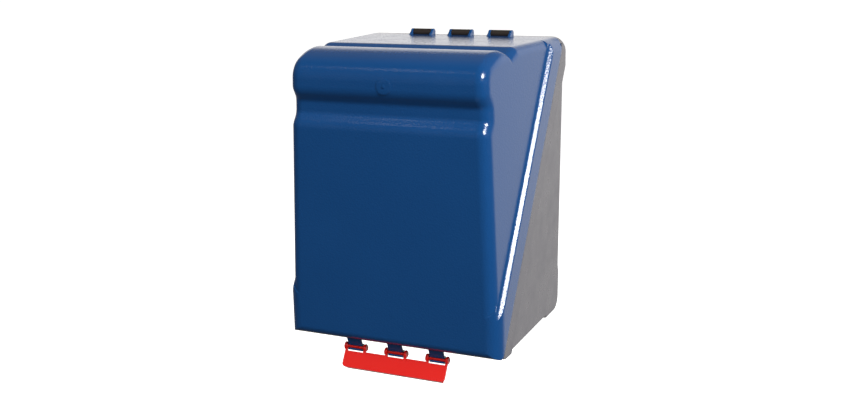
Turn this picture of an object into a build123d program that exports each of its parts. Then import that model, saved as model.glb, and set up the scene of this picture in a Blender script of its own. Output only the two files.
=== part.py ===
from build123d import *
import os
from math import atan2, cos, pi, radians, sin, tan

# Wall case for a folded fire blanket: two moulded shells that part on a plane leaning
# from the top of the back down to the foot of the front, three hinges and a latch plate.
# Millimetres. X is the width, the wall is the plane Y = 0, the room is towards -Y, +Z is up.
# The shapes are drawn with Z = 0 at the feet and written out with Z = 0 at the middle of
# the four wall screws.

# ---- case ----
CASE_WIDTH = 236.0
CASE_HEIGHT = 300.0
CASE_DEPTH = 195.0
WALL = 2.5

# ---- parting plane ----
PARTING_TOP = 5.0            # distance of the parting line from the wall, at the top
PARTING_FOOT = 183.5         # the same at the underside of the cover
COVER_FOOT_Z = 4.5           # underside of the cover

# ---- front cover ----
COVER_BAND = 24.5            # width of the full-width band along the parting plane
COVER_STEP = 4.8             # how far the side panel stands in from that band
COVER_STEP_RUN = 3.0
STEP_EDGE_R = 1.6            # round where the band turns into the step
STEP_ROOT_R = 2.0            # and where the step meets the side panel
COVER_DRAFT = 4.0            # degrees, each side panel
COVER_EDGE_R = 12.0          # side edges of the header and the front
COVER_FOOT_R = 8.5           # lower front edge
BAND_FRONT_R = 15.0          # upright front edges of the band
BAND_FOOT_R = 2.0            # lower side edges of the band and the rim
BAND_TOP_R = 15.0

# ---- top: a flush rear part, a valley, and the crowned header in front of it ----
REAR_TOP_DEPTH = 120.0       # depth of the flush rear part
REAR_TOP_SLOPE = 24.0        # degrees, the ramp down into the valley
REAR_TOP_EDGE_R = 13.0       # round at the head of the ramp
REAR_TOP_R = 10.0            # its side edges
CREST_DEPTH = 148.0          # rear edge of the header, from the wall
CREST_DROP = 1.0             # and below the rear part
CREST_BACK_SLOPE = 42.0      # degrees, the header's rear face
CROWN_RUN = 16.5             # from the crest to where the crown bends down
CROWN_FALL = 13.0            # fall of the crown to the front
CROWN_R = 75.0
TOP_FRONT_R = 23.0

# ---- groove across the front ----
GROOVE_TOP_Z = 259.0
GROOVE_UPPER_RUN = 10.5
GROOVE_FLOOR = 12.0
GROOVE_LOWER_RUN = 10.0
GROOVE_DEPTH = 7.2
GROOVE_EDGE_R = 14.0         # outer rounds, larger than the side edges that follow them
GROOVE_FLOOR_R = 6.0

# ---- gate mark on the header band ----
GATE_Z = 266.5
GATE_DIAMETER = 16.0
GATE_RISE = 0.3
GATE_NUB_DIAMETER = 2.8
GATE_NUB_RISE = 0.8

# ---- rear shell ----
RIM_BAND = 20.0
RIM_STEP = 1.7
RIM_STEP_RUN = 1.2
RIM_EDGE_R = 0.8
RIM_FOOT_Z = 1.2
RIM_FOOT_R = 12.0
TOE_RUN = 6.5                # from the parting line back to the level of the rim's foot
TOE_ROOT_R = 4.0
TOE_R = 14.0
REAR_DRAFT = 1.6
REAR_EDGE_R = 2.2
BLOCK_TOP_DROP = 6.0         # top of the back wall, hidden behind the rim
BACK_RECESS = 3.0            # back and floor stand this far in from the feet and the wall
FOOT_DEPTH = 42.0            # length of the foot along the floor and up the back
FOOT_RUN = 9.0
FOOT_R = 14.0
FOOT_STEP_R = 4.0
FOOT_EASE_R = 12.0

# ---- tongue of the rear shell inside the cover ----
TONGUE_HEIGHT = 4.0
TONGUE_THICKNESS = 1.5
TONGUE_GAP = 0.6
TONGUE_ROOT = 6.0
TONGUE_TOP_Z = 282.0
TONGUE_BITE = 0.1            # how far its root goes into the wall
TONGUE_SHOULDER = 1.0        # its root starts this far behind the parting plane

# ---- wall screws ----
SCREW_SPACING_X = 140.0
SCREW_SPACING_Z = 200.0
SCREW_CENTRE_Z = 150.0       # above the feet
SCREW_HOLE = 5.2
SCREW_BOSS = 15.0

# ---- hinges ----
STATION_PITCH = 46.2         # hinges and latch hooks share the same three stations
HINGE_AXIS_Y = -4.0
HINGE_AXIS_RISE = 2.3        # above the top of the case
EAR_RADIUS = 3.9
EAR_THICKNESS = 2.5
HINGE_HALF_WIDTH = 13.3
EAR_ROOT = 9.0
EAR_WEB_BACK = 1.5           # rear end of the web's root, from the pin
BARREL_RADIUS = 3.8
BARREL_END_GAP = 0.35
KNUCKLE_RELIEF = 0.4
LEG_THICKNESS = 2.8
LEG_LENGTH = 14.0
LEG_POCKET_WALL = 2.4
LEG_SET_BACK = 0.2           # of the leg from the wall plane
LEG_BOSS_INSET = 1.0         # of the pocket's boss from the wall plane and the top
PIN_RADIUS = 1.25
PIN_CLEARANCE = 0.05
PIN_FIT = 0.02
PIN_END_SKIN = 0.8
PIN_END_GAP = 0.1

# ---- latch ----
LATCH_Y = -180.5             # pivot of the latch
LATCH_Z = -7.0
LATCH_BAR_RADIUS = 1.9
LATCH_BAR_HALF = 12.3
LATCH_CHEEK_THICKNESS = 3.0
LATCH_CHEEK_RADIUS = 4.0
LATCH_CHEEK_CHAMFER = 0.9
LATCH_POST_INSET = 0.4       # of the posts and bars from the faces of the cheeks
LATCH_POST_BITE = 1.0        # of the posts into the plate
LATCH_PLATE_HALF = 57.7
LATCH_PLATE_START = 4.5      # from the pivot
LATCH_PLATE_END = 22.3
LATCH_PLATE_THICKNESS = 2.5
LATCH_CORNER_R = 4.0
LATCH_SLOT_END = 5.3
LATCH_LIP_HEIGHT = 7.6       # reach of the lip, from the middle of the plate
LATCH_LIP_THICKNESS = 2.2
LATCH_TOOTH = 0.6
LATCH_TOOTH_HEIGHT = 1.2
LATCH_TOOTH_HALF = 8.0
LATCH_HANG = 31.0            # degrees forward of plumb, as it hangs open
HOOK_HALF = 7.9
HOOK_BORE = 2.2
HOOK_RADIUS = 4.0
HOOK_STEM = 2.4
HOOK_ROOT = 2.2              # root of each tab, in front of the parting line
HOOK_MOUTH_TOP = 25.0        # degrees, the mouth of the hook starts this far past its tab
HOOK_MOUTH_FOOT = 215.0      # degrees, and ends here, counted up from the rear
HOOK_ROOM = 0.6              # clearance of each tab in the rim
CATCH_HALF = 7.0
CATCH_GAP = 0.3
CATCH_THICKNESS = 3.0
CATCH_NIB = 2.0
CATCH_NIB_HEIGHT = 1.2
CATCH_NIB_RAMP = 1.6
CATCH_TAPER = 1.5

# ---- blanket ----
BLANKET_WIDTH = 200.0
BLANKET_HEIGHT = 225.0
BLANKET_THICKNESS = 42.0
BLANKET_EDGE_R = 6.0
TAPE_WIDTH = 30.0
TAPE_THICKNESS = 2.0
TAPE_LENGTH = 150.0
TAPE_PITCH = 110.0
TAPE_TOP = 6.0               # below the top of the pack

# ---- reach of construction solids ----
FAR = 500.0
REACH = 220.0                # of the side panels, from the parting plane
OVERRUN = 60.0               # of a section past the parting plane
BLOCK_DEPTH = 40.0           # of the blocks that shape the top
STEP_TAIL = 5.0              # of a band's section along the side panel
NEAR_SIDE = 80.0             # anything further out than this lies on a side
NEAR = 1.0                   # an edge this close to a level counts as lying on it
POCKET_OVERRUN = 5.0         # of the clip pockets past the top
SCREW_REACH = 30.0           # of the screw holes from the wall

# ---- the parting plane and its directions ----
lean = atan2(PARTING_FOOT - PARTING_TOP, CASE_HEIGHT - COVER_FOOT_Z)
along = Vector(0, sin(lean), cos(lean))
outward = Vector(0, -cos(lean), sin(lean))
parting_point = Vector(0, -PARTING_TOP, CASE_HEIGHT)
parting = Plane(origin=parting_point, x_dir=(1, 0, 0), z_dir=outward)
across = Plane(origin=parting_point, x_dir=(1, 0, 0), z_dir=-along)
stations = [-STATION_PITCH, 0, STATION_PITCH]
hinge_z = CASE_HEIGHT + HINGE_AXIS_RISE


def side_face(points, radii=None):
    """Face in the YZ plane from (y, z) points; radii gives a round for chosen corners."""
    face = make_face(Polyline(*[(y, z) for y, z in points], close=True))
    for index, radius in (radii or {}).items():
        y, z = points[index]
        corner = face.vertices().sort_by_distance((y, z, 0))[0]
        face = fillet(corner, radius)
    return face


def side_prism(face, half_width=FAR):
    """The face run across the case, equally to both sides."""
    return extrude(Plane.YZ * face, half_width, both=True)


def shrink(face, inset):
    """The face drawn in by a wall thickness."""
    if inset == 0:
        return face
    return offset(face, -inset, kind=Kind.INTERSECTION)


def cross_prism(points, inset=0.0, radii=None):
    """Symmetric section in (half width, distance from the parting plane), run along it."""
    left = [(-x, d) for x, d in reversed(points)]
    rounds = dict(radii or {})
    for index, radius in (radii or {}).items():
        rounds[2 * len(points) - 1 - index] = radius
    face = side_face(points + left, rounds)
    return extrude(across * shrink(face, inset), FAR, both=True)


def rod(radius, x_from, x_to, y, z):
    """Cylinder along X."""
    return extrude(Plane.YZ.offset(x_from) * Pos(y, z) * Circle(radius), x_to - x_from)


def block(x_half, y_from, y_to, z_from, z_to):
    """Box from its limits, centred across the case."""
    middle = Pos(0, (y_from + y_to) / 2, (z_from + z_to) / 2)
    return middle * Box(2 * x_half, abs(y_to - y_from), abs(z_to - z_from))


def slab(d_from, d_to):
    """Everything between two distances from the parting plane."""
    return parting * Pos(0, 0, (d_from + d_to) / 2) * Box(2 * FAR, 2 * FAR, d_to - d_from)


def side_edges(solid, x_beyond):
    """Edges that lie on the side panels, away from the ends of the construction solid."""
    found = []
    for edge in solid.edges():
        box = edge.bounding_box()
        if min(abs(box.min.X), abs(box.max.X)) > x_beyond and box.size.X < x_beyond:
            found.append(edge)
    return found


# ---- front cover ----
def cover_panels(inset):
    """Drafted side panels of the cover."""
    start = COVER_BAND + COVER_STEP_RUN
    half = CASE_WIDTH / 2 - COVER_STEP
    taper = tan(radians(COVER_DRAFT))
    points = [(half + taper * (start + OVERRUN), -OVERRUN), (half - taper * (REACH - start), REACH)]
    return cross_prism(points, inset)


def cover_band_section(inset):
    """Full-width band beside the parting plane, with the rounded step down to the panels."""
    half = CASE_WIDTH / 2
    start = COVER_BAND + COVER_STEP_RUN
    taper = tan(radians(COVER_DRAFT))
    points = [
        (half, -OVERRUN), (half, COVER_BAND), (half - COVER_STEP, start),
        (half - COVER_STEP - taper * STEP_TAIL, start + STEP_TAIL),
    ]
    return cross_prism(points, inset, {1: STEP_EDGE_R, 2: STEP_ROOT_R})


def front_profile():
    """Side outline of the header and the front, with the groove; the rear end lies inside."""
    top = CASE_HEIGHT - CREST_DROP
    crown_y = -CREST_DEPTH - CROWN_RUN
    back_run = BLOCK_DEPTH / tan(radians(CREST_BACK_SLOPE))
    front = -CASE_DEPTH
    floor = front + GROOVE_DEPTH
    z2 = GROOVE_TOP_Z - GROOVE_UPPER_RUN
    z3 = z2 - GROOVE_FLOOR
    z4 = z3 - GROOVE_LOWER_RUN
    foot = COVER_FOOT_Z + 2 * COVER_FOOT_R
    points = [
        (FAR / 2, top - BLOCK_DEPTH), (back_run - CREST_DEPTH, top - BLOCK_DEPTH),
        (-CREST_DEPTH, top), (crown_y, top), (front, top - CROWN_FALL),
        (front, GROOVE_TOP_Z), (floor, z2), (floor, z3), (front, z4),
        (front, foot), (FAR / 2, foot),
    ]
    rounds = {
        3: CROWN_R, 4: TOP_FRONT_R, 5: GROOVE_EDGE_R, 6: GROOVE_FLOOR_R,
        7: GROOVE_FLOOR_R, 8: GROOVE_EDGE_R,
    }
    return side_face(points, rounds)


def front_block(inset):
    """Header and front of the cover, whose side edges follow the crown and the groove."""
    solid = side_prism(shrink(front_profile(), inset)) & cover_panels(inset)
    foot = COVER_FOOT_Z + 2 * COVER_FOOT_R + inset
    edges = []
    for edge in side_edges(solid, NEAR_SIDE):
        middle = edge @ 0.5
        if middle.Y < -CREST_DEPTH and middle.Z > foot + NEAR:
            edges.append(edge)
    return fillet(edges, COVER_EDGE_R - inset)


def rear_top_block(inset):
    """Rear of the cover's top, flush with the band, with the ramp down into the valley."""
    ramp_end = -CREST_DEPTH - CROWN_RUN
    ramp_foot = CASE_HEIGHT + (ramp_end + REAR_TOP_DEPTH) * tan(radians(REAR_TOP_SLOPE))
    foot = ramp_foot - BLOCK_DEPTH
    points = [
        (FAR / 2, CASE_HEIGHT), (-REAR_TOP_DEPTH, CASE_HEIGHT), (ramp_end, ramp_foot),
        (ramp_end, foot), (FAR / 2, foot),
    ]
    face = shrink(side_face(points, {1: REAR_TOP_EDGE_R}), inset)
    solid = side_prism(face) & cover_panels(inset)
    edges = []
    for edge in side_edges(solid, NEAR_SIDE):
        middle = edge @ 0.5
        ahead = ramp_end + inset + NEAR < middle.Y
        if ahead and middle.Z > ramp_foot - inset - NEAR and middle.Y < REACH:
            edges.append(edge)
    return fillet(edges, REAR_TOP_R - inset)


def cover_envelope(inset):
    """Rounded outline that the cover's band fills."""
    points = [
        (FAR / 2, CASE_HEIGHT), (-CASE_DEPTH, CASE_HEIGHT),
        (-CASE_DEPTH, COVER_FOOT_Z), (FAR / 2, COVER_FOOT_Z),
    ]
    face = shrink(side_face(points, {2: COVER_FOOT_R}), inset)
    half = CASE_WIDTH / 2 - inset
    solid = side_prism(face, half)
    solid = fillet(long_side_edges(solid, inset, CASE_HEIGHT), BAND_TOP_R - inset)
    solid = fillet(long_side_edges(solid, inset, COVER_FOOT_Z), BAND_FOOT_R)
    room = Pos(0, FAR / 2 - CASE_DEPTH + inset) * Rectangle(2 * half, FAR)
    front_corners = [v for v in room.vertices() if v.Y < 0]
    return solid & extrude(fillet(front_corners, BAND_FRONT_R - inset), FAR)


def long_side_edges(solid, inset, height):
    """The two long side edges of a form that lie at a height."""
    found = []
    for edge in side_edges(solid, NEAR_SIDE):
        level = abs((edge @ 0.5).Z - height) < inset + NEAR
        if level and edge.bounding_box().size.Y > CASE_DEPTH / 2:
            found.append(edge)
    return found


def cover_form(inset):
    """Solid form of the cover, drawn in by the inset."""
    band = cover_envelope(inset) & cover_band_section(inset)
    return front_block(inset) + rear_top_block(inset) + band


def gate_mark():
    """Round gate mark with its nub."""
    place = Plane(origin=(0, -CASE_DEPTH, GATE_Z), x_dir=(1, 0, 0), z_dir=(0, -1, 0))
    disc = extrude(place * Circle(GATE_DIAMETER / 2), GATE_RISE)
    nub = extrude(place * Circle(GATE_NUB_DIAMETER / 2), GATE_NUB_RISE)
    return disc + nub


def hinge_ears(x):
    """Pair of ears with the web that ties each to the top of the cover."""
    ears = []
    for side in (-1, 1):
        middle = x + side * (HINGE_HALF_WIDTH - EAR_THICKNESS / 2)
        outline = Pos(HINGE_AXIS_Y, hinge_z) * Circle(EAR_RADIUS)
        root_y = HINGE_AXIS_Y - EAR_ROOT
        web = make_face(Polyline(
            (HINGE_AXIS_Y, hinge_z + EAR_RADIUS), (root_y, CASE_HEIGHT),
            (root_y, CASE_HEIGHT - WALL / 2), (HINGE_AXIS_Y - EAR_WEB_BACK, CASE_HEIGHT - WALL / 2),
            (HINGE_AXIS_Y, hinge_z), close=True))
        profile = Plane.YZ.offset(middle) * (outline + web)
        ears.append(extrude(profile, EAR_THICKNESS / 2, both=True))
    return ears


def pin_sockets(x):
    """Blind sockets in the ears for the hinge pin."""
    reach = HINGE_HALF_WIDTH - PIN_END_SKIN
    return rod(PIN_RADIUS + PIN_FIT, x - reach, x + reach, HINGE_AXIS_Y, hinge_z)


def from_pivot(distance, angle, aside=0.0):
    """(y, z) at a distance and angle from the latch pivot, shifted square to that line."""
    y = LATCH_Y + distance * cos(angle) + aside * sin(angle)
    z = LATCH_Z + distance * sin(angle) - aside * cos(angle)
    return y, z


def tab_line():
    """Angle and length of the line from the latch pivot up to the root in the cover's floor."""
    run = -PARTING_FOOT - HOOK_ROOT - LATCH_Y
    rise = COVER_FOOT_Z + WALL / 2 - LATCH_Z
    return atan2(rise, run), (rise ** 2 + run ** 2) ** 0.5


def tab_face(margin=0.0):
    """Side view of the tab between the cover and the hook."""
    angle, length = tab_line()
    half = HOOK_STEM / 2 + margin
    start = (HOOK_BORE + HOOK_RADIUS) / 2
    corners = [(start, half), (length, half), (length, -half), (start, -half)]
    return make_face(Polyline(*[from_pivot(d, angle, a) for d, a in corners], close=True))


def latch_hook(x):
    """Tab under the cover that ends in an open hook round the latch bar."""
    angle, length = tab_line()
    reach = 4 * HOOK_RADIUS
    ring = Pos(LATCH_Y, LATCH_Z) * (Circle(HOOK_RADIUS) - Circle(HOOK_BORE))
    mouth = make_face(Polyline(
        from_pivot(0, 0), from_pivot(reach, angle + radians(HOOK_MOUTH_TOP)),
        from_pivot(reach, pi), from_pivot(reach, radians(HOOK_MOUTH_FOOT)), close=True))
    return extrude(Plane.YZ.offset(x) * (ring - mouth + tab_face()), HOOK_HALF, both=True)


def make_front_cover():
    outer = cover_form(0) & slab(0, FAR)
    shell = outer - cover_form(WALL)
    knuckle = BARREL_RADIUS + KNUCKLE_RELIEF
    inner_half = HINGE_HALF_WIDTH - EAR_THICKNESS
    for x in stations:
        shell -= rod(knuckle, x - inner_half, x + inner_half, HINGE_AXIS_Y, hinge_z)
        for ear in hinge_ears(x):
            shell += ear
        shell -= pin_sockets(x)
        shell += latch_hook(x)
    return shell + gate_mark()


# ---- rear shell ----
def rear_panels(inset):
    """Drafted side panels of the rear shell."""
    start = RIM_BAND + RIM_STEP_RUN
    half = CASE_WIDTH / 2 - RIM_STEP
    taper = tan(radians(REAR_DRAFT))
    points = [(half + taper * (start + OVERRUN), OVERRUN), (half - taper * (REACH - start), -REACH)]
    return cross_prism(points, inset)


def rim_section(inset):
    """Full-width rim beside the parting plane, rounded off at the rear of its foot."""
    half = CASE_WIDTH / 2
    depth = RIM_BAND + RIM_STEP_RUN
    taper = tan(radians(REAR_DRAFT))
    points = [
        (half, OVERRUN), (half, -RIM_BAND), (half - RIM_STEP, -depth),
        (half - RIM_STEP - taper * STEP_TAIL, -depth - STEP_TAIL),
    ]
    foot_y = -PARTING_FOOT + depth / cos(lean) + (COVER_FOOT_Z - RIM_FOOT_Z) * tan(lean)
    rise = FAR * cos(lean)
    run = FAR * sin(lean)
    outline = [
        (foot_y, RIM_FOOT_Z), (-FAR, RIM_FOOT_Z), (-FAR, RIM_FOOT_Z + rise),
        (foot_y + run, RIM_FOOT_Z + rise),
    ]
    foot = side_prism(shrink(side_face(outline, {0: RIM_FOOT_R}), inset))
    section = cross_prism(points, inset, {1: RIM_EDGE_R})
    return section & foot


def rear_block(inset):
    """Back, floor and side panels, standing on the foot along the lower back edge."""
    top = CASE_HEIGHT - BLOCK_TOP_DROP
    points = [
        (-FAR / 2, BACK_RECESS), (-FOOT_DEPTH - FOOT_RUN / 2, BACK_RECESS), (-FOOT_DEPTH, 0),
        (0, 0), (0, FOOT_DEPTH), (-BACK_RECESS, FOOT_DEPTH + FOOT_RUN),
        (-BACK_RECESS, top), (-FAR / 2, top),
    ]
    rounds = {1: FOOT_STEP_R, 2: FOOT_STEP_R, 3: FOOT_R, 4: FOOT_EASE_R, 5: FOOT_EASE_R}
    face = shrink(side_face(points, rounds), inset)
    solid = side_prism(face) & rear_panels(inset)
    if inset:
        return solid
    edges = []
    for edge in side_edges(solid, NEAR_SIDE):
        middle = edge @ 0.5
        if middle.Y > -REACH and middle.Z < top - NEAR:
            edges.append(edge)
    return fillet(edges, REAR_EDGE_R)


def rim_envelope(inset):
    """Rounded outline that the rim fills."""
    points = [
        (0, CASE_HEIGHT), (-FAR / 2, CASE_HEIGHT), (-FAR / 2, COVER_FOOT_Z),
        (-PARTING_FOOT, COVER_FOOT_Z), (-PARTING_FOOT + TOE_RUN, RIM_FOOT_Z), (0, RIM_FOOT_Z),
    ]
    face = shrink(side_face(points, {3: TOE_ROOT_R, 4: TOE_R}), inset)
    solid = side_prism(face, CASE_WIDTH / 2 - inset)
    solid = fillet(long_side_edges(solid, inset, CASE_HEIGHT), BAND_TOP_R - inset)
    low_edges = []
    for edge in side_edges(solid, NEAR_SIDE):
        middle = edge @ 0.5
        low = middle.Z < COVER_FOOT_Z + inset + NEAR
        if low and -REACH < middle.Y < -inset - NEAR:
            low_edges.append(edge)
    return fillet(low_edges, BAND_FOOT_R)


def tongue():
    """Thin tongue that stands inside the cover's band and keeps dust out."""
    outside = WALL + TONGUE_GAP
    inside = outside + TONGUE_THICKNESS
    lip = (cover_envelope(outside) - cover_envelope(inside)) & slab(-TONGUE_ROOT / 2, TONGUE_HEIGHT)
    root = rim_envelope(WALL - TONGUE_BITE) - rim_envelope(inside)
    root &= slab(-TONGUE_ROOT, -TONGUE_SHOULDER)
    low = block(FAR, -FAR, 0, -FAR, TONGUE_TOP_Z)
    room = block(FAR, -REACH, TONGUE_BITE - WALL, -FAR, FAR)
    return (lip + root) & low & room


def screw_places():
    for x in (-SCREW_SPACING_X / 2, SCREW_SPACING_X / 2):
        for z in (-SCREW_SPACING_Z / 2, SCREW_SPACING_Z / 2):
            yield x, z + SCREW_CENTRE_Z


def along_wall(x, z, y_front, radius):
    """Cylinder square to the wall, from the wall plane to y_front."""
    place = Plane(origin=(x, 0, z), x_dir=(1, 0, 0), z_dir=(0, -1, 0))
    return extrude(place * Circle(radius), abs(y_front))


def leg_pocket(x, margin, clearance=0.0):
    """Room for the leg of a hinge clip, open to the back and the top."""
    half = HINGE_HALF_WIDTH - EAR_THICKNESS - BARREL_END_GAP + margin
    depth = LEG_THICKNESS + LEG_SET_BACK + clearance
    low = CASE_HEIGHT - LEG_LENGTH - margin
    return Pos(x, 0, 0) * block(half, -depth, 0, low, CASE_HEIGHT + POCKET_OVERRUN)


def catch_rib(x):
    """Rib under the rim whose nib holds a tooth of the latch lip."""
    tooth_y = LATCH_Y + LATCH_PLATE_END - LATCH_LIP_THICKNESS - LATCH_TOOTH
    tooth_z = LATCH_Z + LATCH_LIP_HEIGHT - LATCH_TOOTH_HEIGHT
    tip_y = tooth_y - CATCH_GAP
    tip_z = tooth_z - CATCH_GAP
    heel_y = tip_y - CATCH_NIB
    low_z = tip_z - CATCH_NIB_HEIGHT - CATCH_NIB_RAMP
    root_z = BACK_RECESS + WALL / 2
    points = [
        (heel_y, root_z), (heel_y, tip_z), (tip_y, tip_z), (tip_y, tip_z - CATCH_NIB_HEIGHT),
        (heel_y, low_z), (heel_y - CATCH_THICKNESS, low_z),
        (heel_y - CATCH_THICKNESS - CATCH_TAPER, root_z),
    ]
    return extrude(Plane.YZ.offset(x) * side_face(points), CATCH_HALF, both=True)


def make_rear_shell():
    rim = rim_envelope(0) & rim_section(0)
    outer = (rear_block(0) + rim) & slab(-FAR, 0)
    hollow = rear_block(WALL) + (rim_envelope(WALL) & rim_section(WALL))
    shell = outer - hollow + tongue()
    for x, z in screw_places():
        shell += along_wall(x, z, BACK_RECESS + WALL, SCREW_BOSS / 2)
    for x, z in screw_places():
        shell -= along_wall(x, z, SCREW_REACH, SCREW_HOLE / 2)
    for x in stations:
        inside = block(FAR, -FAR, -LEG_BOSS_INSET, 0, CASE_HEIGHT - LEG_BOSS_INSET)
        shell += leg_pocket(x, LEG_POCKET_WALL, LEG_POCKET_WALL) & inside & slab(-FAR, 0)
        shell -= leg_pocket(x, 0)
        relief = BARREL_RADIUS + KNUCKLE_RELIEF
        half = HINGE_HALF_WIDTH + BARREL_END_GAP
        shell -= rod(relief, x - half, x + half, HINGE_AXIS_Y, hinge_z)
        shell += catch_rib(x)
        room = Plane.YZ.offset(x) * tab_face(HOOK_ROOM)
        shell -= extrude(room, HOOK_HALF + HOOK_ROOM, both=True)
    return shell


# ---- hinge clip and pin ----
def make_hinge_clip(x):
    """Barrel with a leg that seats in the pocket at the top of the rear shell."""
    half = HINGE_HALF_WIDTH - EAR_THICKNESS - BARREL_END_GAP
    barrel = rod(BARREL_RADIUS, x - half, x + half, HINGE_AXIS_Y, hinge_z)
    back = HINGE_AXIS_Y + BARREL_RADIUS
    low = CASE_HEIGHT - LEG_LENGTH
    leg = Pos(x, 0, 0) * block(half, -LEG_THICKNESS - LEG_SET_BACK, back, low, hinge_z)
    bore = rod(PIN_RADIUS + PIN_CLEARANCE, x - half, x + half, HINGE_AXIS_Y, hinge_z)
    return barrel + leg - bore


def make_hinge_pin(x):
    reach = HINGE_HALF_WIDTH - PIN_END_SKIN - PIN_END_GAP
    return rod(PIN_RADIUS, x - reach, x + reach, HINGE_AXIS_Y, hinge_z)


# ---- latch plate ----
def make_latch_plate():
    """Plate with three bars, modelled hanging plumb from the pivot, then swung forward."""
    height = LATCH_PLATE_END - LATCH_PLATE_START
    middle_z = -(LATCH_PLATE_START + LATCH_PLATE_END) / 2
    sheet = Pos(0, middle_z) * Rectangle(2 * LATCH_PLATE_HALF, height)
    low_corners = [v for v in sheet.vertices() if v.Y < middle_z]
    sheet = fillet(low_corners, LATCH_CORNER_R)
    cheek_inner = LATCH_BAR_HALF - LATCH_CHEEK_THICKNESS
    for x in stations:
        for side in (-1, 1):
            post_x = x + side * (LATCH_BAR_HALF - LATCH_CHEEK_THICKNESS / 2 - LATCH_POST_INSET)
            post = Pos(post_x, -(LATCH_PLATE_START + LATCH_POST_BITE) / 2)
            width = LATCH_CHEEK_THICKNESS - 2 * LATCH_POST_INSET
            sheet += post * Rectangle(width, LATCH_PLATE_START + LATCH_POST_BITE)
        slot_middle = -LATCH_SLOT_END / 2
        sheet -= Pos(x, slot_middle) * Rectangle(2 * cheek_inner, LATCH_SLOT_END)
    plate = extrude(Plane.XZ * sheet, LATCH_PLATE_THICKNESS / 2, both=True)
    lip_low = -LATCH_PLATE_END
    lip_top = lip_low + LATCH_LIP_THICKNESS
    lip_half = LATCH_PLATE_HALF - LATCH_CORNER_R
    plate += block(lip_half, 0, LATCH_LIP_HEIGHT, lip_low, lip_top)
    for x in stations:
        tooth_low = LATCH_LIP_HEIGHT - LATCH_TOOTH_HEIGHT
        plate += Pos(x, 0, 0) * block(
            LATCH_TOOTH_HALF, tooth_low, LATCH_LIP_HEIGHT, lip_low, lip_top + LATCH_TOOTH)
        bar_reach = LATCH_BAR_HALF - LATCH_POST_INSET
        plate += rod(LATCH_BAR_RADIUS, x - bar_reach, x + bar_reach, 0, 0)
        for side in (-1, 1):
            a = x + side * cheek_inner
            b = x + side * LATCH_BAR_HALF
            cheek = rod(LATCH_CHEEK_RADIUS, min(a, b), max(a, b), 0, 0)
            rim = cheek.faces().sort_by(Axis.X)[side].edges()
            plate += chamfer(rim, LATCH_CHEEK_CHAMFER)
    swung = Rot(-LATCH_HANG, 0, 0) * plate
    return Pos(0, LATCH_Y, LATCH_Z) * swung


# ---- blanket ----
def make_blanket():
    back = -BACK_RECESS - WALL
    floor = BACK_RECESS + WALL
    pack = block(BLANKET_WIDTH / 2, back - BLANKET_THICKNESS, back, floor, floor + BLANKET_HEIGHT)
    return fillet(pack.edges().filter_by(Axis.X), BLANKET_EDGE_R)


def make_pull_tape(x):
    front = -BACK_RECESS - WALL - BLANKET_THICKNESS
    top = BACK_RECESS + WALL + BLANKET_HEIGHT - TAPE_TOP - BLANKET_EDGE_R
    return Pos(x, 0, 0) * block(TAPE_WIDTH / 2, front - TAPE_THICKNESS, front, top - TAPE_LENGTH, top)


# ---- write the parts ----
nodes = {
    "front_cover": make_front_cover(),
    "rear_shell": make_rear_shell(),
    "latch_plate": make_latch_plate(),
    "folded_blanket": make_blanket(),
    "pull_tape_left": make_pull_tape(-TAPE_PITCH / 2),
    "pull_tape_right": make_pull_tape(TAPE_PITCH / 2),
}
for name, x in zip(("left", "middle", "right"), stations):
    nodes["hinge_clip_" + name] = make_hinge_clip(x)
    nodes["hinge_pin_" + name] = make_hinge_pin(x)

os.makedirs("parts", exist_ok=True)
for name, shape in nodes.items():
    export_step(Pos(0, 0, -SCREW_CENTRE_Z) * shape, "parts/" + name + ".step")
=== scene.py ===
import bpy
import bmesh
import math
from mathutils import Matrix, Vector


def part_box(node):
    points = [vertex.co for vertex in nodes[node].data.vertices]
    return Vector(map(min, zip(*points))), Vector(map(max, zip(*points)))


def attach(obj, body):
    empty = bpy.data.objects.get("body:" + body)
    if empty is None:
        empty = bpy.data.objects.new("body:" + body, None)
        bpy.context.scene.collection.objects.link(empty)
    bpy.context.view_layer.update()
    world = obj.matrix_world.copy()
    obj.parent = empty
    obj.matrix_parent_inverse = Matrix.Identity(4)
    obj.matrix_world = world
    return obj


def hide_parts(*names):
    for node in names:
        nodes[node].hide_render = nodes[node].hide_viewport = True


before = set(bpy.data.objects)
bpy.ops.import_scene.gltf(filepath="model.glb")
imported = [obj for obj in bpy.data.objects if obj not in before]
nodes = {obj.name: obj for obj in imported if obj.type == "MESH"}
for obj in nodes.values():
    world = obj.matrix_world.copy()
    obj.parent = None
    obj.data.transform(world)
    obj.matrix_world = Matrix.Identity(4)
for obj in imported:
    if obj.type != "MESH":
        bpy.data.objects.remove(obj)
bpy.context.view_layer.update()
scene = bpy.context.scene
scene.view_settings.view_transform = "Standard"


# ---- camera ----
# A short telephoto view from the right of the case and a little above it.
camera_place = Vector((0.4834, -1.1362, 0.2528))
camera_turn = math.radians(24.87)
camera_tilt = math.radians(13.43)
camera_roll = math.radians(-0.95)
camera_data = bpy.data.cameras.new("camera")
camera_data.sensor_width = 36
camera_data.lens = 46.65
camera_data.clip_end = 200
camera = bpy.data.objects.new("camera", camera_data)
scene.collection.objects.link(camera)
upright = Matrix.Rotation(math.pi / 2 - camera_tilt, 4, "X")
camera.matrix_world = (
    Matrix.Translation(camera_place) @ Matrix.Rotation(camera_turn, 4, "Z") @ upright
    @ Matrix.Rotation(camera_roll, 4, "Z")
)
scene.camera = camera


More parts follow.
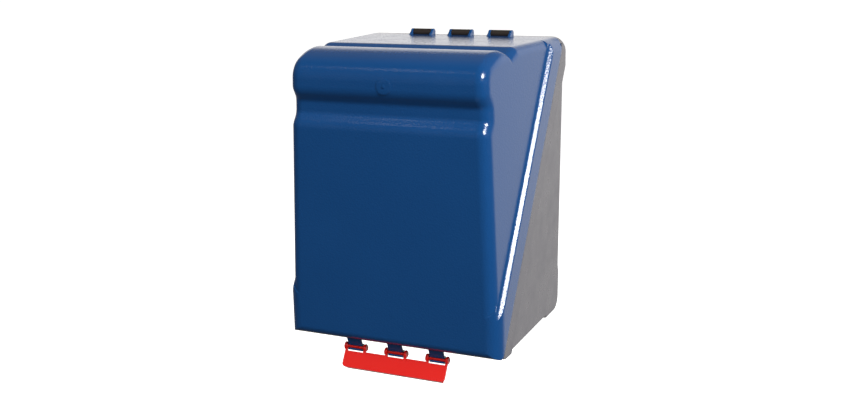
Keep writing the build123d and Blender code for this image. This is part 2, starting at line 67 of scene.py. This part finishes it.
# ---- studio ----
# A pale seamless floor well below the hanging case, a white surround behind it that the gloss
# of the top and the sides mirrors, dim air in front, and soft boxes all round.
floor_height = -0.48
floor_reach = 60.0
floor_glow = 0.9
floor_mesh = bpy.data.meshes.new("floor")
floor_shape = bmesh.new()
bmesh.ops.create_grid(floor_shape, x_segments=12, y_segments=12, size=floor_reach)
floor_shape.to_mesh(floor_mesh)
floor_shape.free()
floor = bpy.data.objects.new("floor", floor_mesh)
floor.location.z = floor_height
scene.collection.objects.link(floor)
floor.visible_glossy = False
floor.visible_diffuse = False

floor_paper = bpy.data.materials.new("floor_paper")
floor_paper.use_nodes = True
paper = floor_paper.node_tree.nodes["Principled BSDF"]
paper.inputs["Base Color"].default_value = (0.9, 0.9, 0.9, 1)
paper.inputs["Roughness"].default_value = 0.9
paper.inputs["Emission Color"].default_value = (1, 1, 1, 1)
paper.inputs["Emission Strength"].default_value = floor_glow
floor_mesh.materials.append(floor_paper)

world = bpy.data.worlds.new("surround")
scene.world = world
world.use_nodes = True
sky = world.node_tree.nodes
sky_links = world.node_tree.links
direction = sky.new("ShaderNodeTexCoord")
split = sky.new("ShaderNodeSeparateXYZ")
sky_links.new(direction.outputs["Generated"], split.inputs[0])


def sky_step(axis, start, end, low, high):
    """Smooth change of brightness from one height or depth of the surround to another."""
    step = sky.new("ShaderNodeMapRange")
    step.interpolation_type = "SMOOTHSTEP"
    step.inputs["From Min"].default_value = start
    step.inputs["From Max"].default_value = end
    step.inputs["To Min"].default_value = low
    step.inputs["To Max"].default_value = high
    sky_links.new(split.outputs[axis], step.inputs["Value"])
    return step.outputs["Result"]


def sky_math(kind, first, second):
    """Sum or product of two brightnesses of the surround."""
    node = sky.new("ShaderNodeMath")
    node.operation = kind
    sky_links.new(first, node.inputs[0])
    sky_links.new(second, node.inputs[1])
    return node.outputs[0]


behind = sky_step("Y", start=0.40, end=0.80, low=0.0, high=1.0)
rising = sky_step("Z", start=-0.60, end=0.15, low=0.50, high=1.02)
fading = sky_step("Z", start=0.30, end=0.50, low=1.0, high=0.05)
backdrop = sky_math("MULTIPLY", behind, sky_math("MULTIPLY", rising, fading))
air = sky_step("Y", start=-0.3, end=0.4, low=0.05, high=0.16)
sky_links.new(sky_math("ADD", backdrop, air), sky["Background"].inputs["Strength"])
sky["Background"].inputs["Color"].default_value = (1.0, 0.97, 0.935, 1)


def soft_box(name, toward, distance, size, power, mirrored=True):
    """Square lamp that looks at the middle of the case; one not mirrored only fills."""
    lamp = bpy.data.lights.new(name, "AREA")
    lamp.size = size
    lamp.energy = power
    aim = Vector((0, -0.1, 0))
    holder = bpy.data.objects.new(name, lamp)
    holder.location = aim + Vector(toward).normalized() * distance
    holder.rotation_euler = (aim - holder.location).to_track_quat("-Z", "Y").to_euler()
    holder.visible_glossy = mirrored
    scene.collection.objects.link(holder)


soft_box("key_box", (0.707, -0.433, 0.561), distance=2.2, size=0.7, power=60)
soft_box("fill_box", (-0.35, -0.85, 0.30), distance=2.6, size=1.6, power=26, mirrored=False)
soft_box("side_box", (0.95, -0.15, 0.25), distance=2.6, size=1.4, power=34, mirrored=False)
soft_box("low_box", (0.10, -0.70, -0.70), distance=2.6, size=1.4, power=24, mirrored=False)
soft_box("left_box", (-0.85, -0.30, 0.45), distance=2.6, size=1.2, power=14, mirrored=False)
soft_box("glint_box", (-0.41, -0.52, 0.74), distance=2.4, size=0.25, power=0.4)


# ---- front cover ----
# The blue front shell, injection moulded in one piece with the ears of its hinges and the
# hooks of the latch. It is glossy over a fine eroded grain, and swings on the hinge pins.
blue_deep = (0.0050, 0.0440, 0.148, 1)
blue_light = (0.0062, 0.0500, 0.164, 1)
blue_roughness = 0.15
shell_grain = 0.0017
blue_grain_height = 0.00013
blue_edge_radius = 0.0020


def moulded_plastic(name, dark, light, roughness, grain_size, grain_height, edge_radius=0.0):
    """Moulded plastic: two close tones, a gloss that wanders, faint rubs and a pebbled grain.
    An edge radius softens the edges as the polish of a mould does."""
    tone_patch = 0.07
    rub_size = 0.018
    rub_low, rub_high = 0.35, 0.75
    shiny_share, dull_share = 0.88, 1.25
    material = bpy.data.materials.new(name)
    material.use_nodes = True
    tree = material.node_tree
    shader = tree.nodes["Principled BSDF"]
    link = tree.links.new
    place = tree.nodes.new("ShaderNodeTexCoord").outputs["Object"]

    def noise(size, detail):
        texture = tree.nodes.new("ShaderNodeTexNoise")
        texture.inputs["Scale"].default_value = 1 / size
        texture.inputs["Detail"].default_value = detail
        link(place, texture.inputs["Vector"])
        return texture.outputs["Fac"]

    tone = tree.nodes.new("ShaderNodeMix")
    tone.data_type = "RGBA"
    tone.inputs["A"].default_value = dark
    tone.inputs["B"].default_value = light
    link(noise(tone_patch, detail=4), tone.inputs["Factor"])
    link(tone.outputs["Result"], shader.inputs["Base Color"])

    gloss = tree.nodes.new("ShaderNodeMapRange")
    gloss.inputs["From Min"].default_value = rub_low
    gloss.inputs["From Max"].default_value = rub_high
    gloss.inputs["To Min"].default_value = roughness * shiny_share
    gloss.inputs["To Max"].default_value = roughness * dull_share
    link(noise(rub_size, detail=6), gloss.inputs["Value"])
    link(gloss.outputs["Result"], shader.inputs["Roughness"])

    grain = tree.nodes.new("ShaderNodeTexVoronoi")
    grain.feature = "SMOOTH_F1"
    grain.inputs["Scale"].default_value = 1 / grain_size
    grain.inputs["Smoothness"].default_value = 1.0
    link(place, grain.inputs["Vector"])
    bump = tree.nodes.new("ShaderNodeBump")
    bump.inputs["Strength"].default_value = 1
    bump.inputs["Distance"].default_value = grain_height
    link(grain.outputs["Distance"], bump.inputs["Height"])
    link(bump.outputs["Normal"], shader.inputs["Normal"])
    if edge_radius:
        rounding = tree.nodes.new("ShaderNodeBevel")
        rounding.samples = 8
        rounding.inputs["Radius"].default_value = edge_radius
        link(rounding.outputs["Normal"], bump.inputs["Normal"])
    return material


def dress(node, material):
    """Gives a part its finish in place of the plain one it was packed with."""
    mesh = nodes[node].data
    mesh.materials.clear()
    mesh.materials.append(material)


blue_plastic = moulded_plastic(
    "blue_plastic", blue_deep, blue_light, blue_roughness, shell_grain, blue_grain_height,
    blue_edge_radius)
dress("front_cover", blue_plastic)


# ---- rear shell ----
# The grey shell that is screwed to the wall, moulded in one piece like the cover but with a
# satin face. Its rim, dust tongue, feet, clip pockets and catch ribs are part of it.
grey_deep = (0.077, 0.075, 0.088, 1)
grey_light = (0.092, 0.090, 0.104, 1)
grey_roughness = 0.30
grey_grain_height = 0.00014
grey_edge_radius = 0.0012
grey_plastic = moulded_plastic(
    "grey_plastic", grey_deep, grey_light, grey_roughness, shell_grain, grey_grain_height,
    grey_edge_radius)
dress("rear_shell", grey_plastic)


# ---- latch plate ----
# A plate of red polypropylene with three bars that are pressed into the open hooks of the
# cover and turn there. Its lip snaps behind the ribs of the rear shell.
red_deep = (0.55, 0.006, 0.0035, 1)
red_light = (0.62, 0.009, 0.005, 1)
red_roughness = 0.36
red_grain = 0.0014
red_grain_height = 0.00003
red_plastic = moulded_plastic(
    "red_plastic", red_deep, red_light, red_roughness, red_grain, red_grain_height)
dress("latch_plate", red_plastic)


# ---- hinge clips and pins ----
# Three black nylon clips, each with a leg that snaps into the rear shell and a barrel between
# two ears of the cover. A drawn steel pin goes through the ears and the barrel.
black_deep = (0.014, 0.0105, 0.0085, 1)
black_light = (0.026, 0.020, 0.017, 1)
black_roughness = 0.52
black_grain = 0.0010
black_grain_height = 0.00003
black_sheen = 0.25
black_plastic = moulded_plastic(
    "black_plastic", black_deep, black_light, black_roughness, black_grain, black_grain_height)
black_shader = black_plastic.node_tree.nodes["Principled BSDF"]
black_shader.inputs["Specular IOR Level"].default_value = black_sheen

steel_deep = (0.45, 0.45, 0.47, 1)
steel_light = (0.55, 0.55, 0.57, 1)
steel_roughness = 0.3
drawing_marks = 0.0006
drawing_marks_height = 0.000004
pin_steel = moulded_plastic(
    "pin_steel", steel_deep, steel_light, steel_roughness, drawing_marks, drawing_marks_height)
pin_steel.node_tree.nodes["Principled BSDF"].inputs["Metallic"].default_value = 1.0
for station in ("left", "middle", "right"):
    dress("hinge_clip_" + station, black_plastic)
    dress("hinge_pin_" + station, pin_steel)


# ---- folded blanket ----
# One sheet of woven glass cloth, 1.2 by 1.8 m, pleated six times across and eight times along
# into a pack that stands loose against the back of the shell.
width_pleats = 6
length_pleats = 8
cloth_slack = 0.0016
cloth_ruffle = 0.00018
side_settle = 0.994
end_settle = 0.996
pack_low, pack_high = (Vector(corner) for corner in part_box("folded_blanket"))
cloth_pitch = (pack_high.y - pack_low.y) / (width_pleats * length_pleats)
strip_pitch = cloth_pitch * width_pleats
layers_depth = strip_pitch - cloth_pitch


def pleated(run, pitch, pleats, run_points, turn_points):
    """Points (along, across, direction of the normal) of a line pleated to and fro."""
    radius = pitch / 2
    straight = run - 2 * radius
    points = []
    for pleat in range(pleats):
        way = 1 if pleat % 2 == 0 else -1
        across = (pleat - (pleats - 1) / 2) * pitch
        for step in range(run_points):
            share = step / (run_points - 1)
            points.append((way * straight * (share - 0.5), across, (0, way)))
        if pleat == pleats - 1:
            break
        for step in range(1, turn_points):
            turn = math.pi * step / turn_points
            sine, cosine = math.sin(turn), math.cos(turn)
            points.append((
                way * (straight / 2 + radius * sine), across + radius * (1 - cosine),
                (-sine, way * cosine)))
    return points


def unrolled(points):
    """How far along the flat cloth or tape each point lies."""
    reach = [0.0]
    for a, b in zip(points, points[1:]):
        reach.append(reach[-1] + math.dist(a[:2], b[:2]))
    return reach


pack_width = pack_high.x - pack_low.x
pack_height = pack_high.z - pack_low.z
pack_middle = (pack_low + pack_high) / 2
pleats_across = pleated(pack_width, cloth_pitch, width_pleats, run_points=8, turn_points=5)
pleats_along = pleated(
    pack_height - layers_depth, strip_pitch, length_pleats, run_points=12, turn_points=9)
across_reach = unrolled(pleats_across)
along_reach = unrolled(pleats_along)
cloth = bmesh.new()
cloth_rows = []
for up, deep, normal in pleats_along:
    row = []
    for aside, layer, _ in pleats_across:
        slack = cloth_slack * math.sin(37 * aside + 900 * deep) * math.cos(23 * up + 700 * layer)
        side_fold = (2 * aside / pack_width) ** 8
        ruffle = cloth_ruffle * math.sin(61 * aside + 47 * up + 2600 * deep)
        row.append(cloth.verts.new((
            pack_middle.x + aside * side_settle + slack * side_fold,
            pack_middle.y + deep + normal[1] * layer + ruffle,
            pack_middle.z + up * end_settle + normal[0] * layer)))
    cloth_rows.append(row)


def weave_grid(shape, rows, aside_reach, down_reach):
    """Faces between rows of points, with the lie of the flat cloth as their UV map."""
    plan = shape.loops.layers.uv.new("flat")
    for i, (first, second) in enumerate(zip(rows, rows[1:])):
        for j in range(len(first) - 1):
            face = shape.faces.new((first[j], first[j + 1], second[j + 1], second[j]))
            face.smooth = True
            corners = ((i, j), (i, j + 1), (i + 1, j + 1), (i + 1, j))
            for loop, (row_number, column) in zip(face.loops, corners):
                loop[plan].uv = (aside_reach[column], down_reach[row_number])


weave_grid(cloth, cloth_rows, across_reach, along_reach)
blanket_mesh = bpy.data.meshes.new("glass_blanket")
cloth.to_mesh(blanket_mesh)
cloth.free()
blanket = bpy.data.objects.new("glass_blanket", blanket_mesh)
scene.collection.objects.link(blanket)


def woven(name, dark, light, warp, weft, relief, roughness):
    """Cloth whose threads cross at right angles on its flat plan, darker between them."""
    thread_wander = 0.6
    fibre_sheen = 0.25
    wave_length = math.pi / 10
    material = bpy.data.materials.new(name)
    material.use_nodes = True
    tree = material.node_tree
    shader = tree.nodes["Principled BSDF"]
    link = tree.links.new
    plan = tree.nodes.new("ShaderNodeUVMap")
    plan.uv_map = "flat"
    threads = []
    for axis, pitch in (("X", warp), ("Y", weft)):
        wave = tree.nodes.new("ShaderNodeTexWave")
        wave.bands_direction = axis
        wave.inputs["Scale"].default_value = wave_length / pitch
        wave.inputs["Distortion"].default_value = thread_wander
        wave.inputs["Detail"].default_value = 1
        link(plan.outputs["UV"], wave.inputs["Vector"])
        threads.append(wave.outputs["Fac"])
    height = tree.nodes.new("ShaderNodeMath")
    height.operation = "MULTIPLY"
    link(threads[0], height.inputs[0])
    link(threads[1], height.inputs[1])
    tone = tree.nodes.new("ShaderNodeMix")
    tone.data_type = "RGBA"
    tone.inputs["A"].default_value = dark
    tone.inputs["B"].default_value = light
    link(height.outputs[0], tone.inputs["Factor"])
    link(tone.outputs["Result"], shader.inputs["Base Color"])
    bump = tree.nodes.new("ShaderNodeBump")
    bump.inputs["Strength"].default_value = 1
    bump.inputs["Distance"].default_value = relief
    link(height.outputs[0], bump.inputs["Height"])
    link(bump.outputs["Normal"], shader.inputs["Normal"])
    shader.inputs["Roughness"].default_value = roughness
    shader.inputs["Sheen Weight"].default_value = fibre_sheen
    return material


glass_shadow = (0.56, 0.53, 0.45, 1)
glass_thread = (0.80, 0.78, 0.70, 1)
glass_cloth = woven(
    "glass_cloth", glass_shadow, glass_thread, warp=0.0011, weft=0.0011, relief=0.00012,
    roughness=0.62)
blanket_mesh.materials.append(glass_cloth)
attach(blanket, "case")
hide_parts("folded_blanket")


# ---- pull tapes ----
# Two black webbing tapes sewn to the blanket's top edge, which hang down its face and turn
# back on themselves in a sewn hand loop.
tape_shadow = (0.010, 0.010, 0.012, 1)
tape_thread = (0.045, 0.045, 0.050, 1)
webbing = woven(
    "webbing", tape_shadow, tape_thread, warp=0.0016, weft=0.0024, relief=0.0003,
    roughness=0.75)
tape_thickness = 0.0012
tape_sag = 0.0004
loop_length = 0.036
loop_gap = tape_thickness * 1.15
hang_steps = 9
turn_steps = 6
loop_steps = 5
tape_columns = 12


def pull_tape(side):
    """One tape: a ribbed strap that runs down the pack and doubles back at its end."""
    low, high = (Vector(corner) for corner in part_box("pull_tape_" + side))
    width = high.x - low.x
    back = high.y - tape_thickness / 2
    front = back - loop_gap
    turn = (back - front) / 2
    line = []
    for step in range(hang_steps + 1):
        share = step / hang_steps
        bow = tape_sag * math.sin(math.pi * share)
        line.append((back - bow, high.z + (low.z + turn - high.z) * share))
    for step in range(1, turn_steps):
        angle = math.pi * step / turn_steps
        line.append((back - turn + turn * math.cos(angle), low.z + turn - turn * math.sin(angle)))
    for step in range(loop_steps + 1):
        line.append((front, low.z + turn + loop_length * step / loop_steps))
    ribs = [width * column / tape_columns for column in range(tape_columns + 1)]
    shape = bmesh.new()
    rows = [[shape.verts.new((low.x + rib, y, z)) for rib in ribs] for y, z in line]
    weave_grid(shape, rows, ribs, unrolled(line))
    mesh = bpy.data.meshes.new("webbing_tape_" + side)
    shape.to_mesh(mesh)
    shape.free()
    mesh.materials.append(webbing)
    tape = bpy.data.objects.new("webbing_tape_" + side, mesh)
    scene.collection.objects.link(tape)
    body = tape.modifiers.new("thickness", "SOLIDIFY")
    body.thickness = tape_thickness
    body.offset = 0
    edge = tape.modifiers.new("selvedge", "BEVEL")
    edge.width = tape_thickness * 0.4
    edge.segments = 2
    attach(tape, "case")
    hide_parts("pull_tape_" + side)


pull_tape("left")
pull_tape("right")
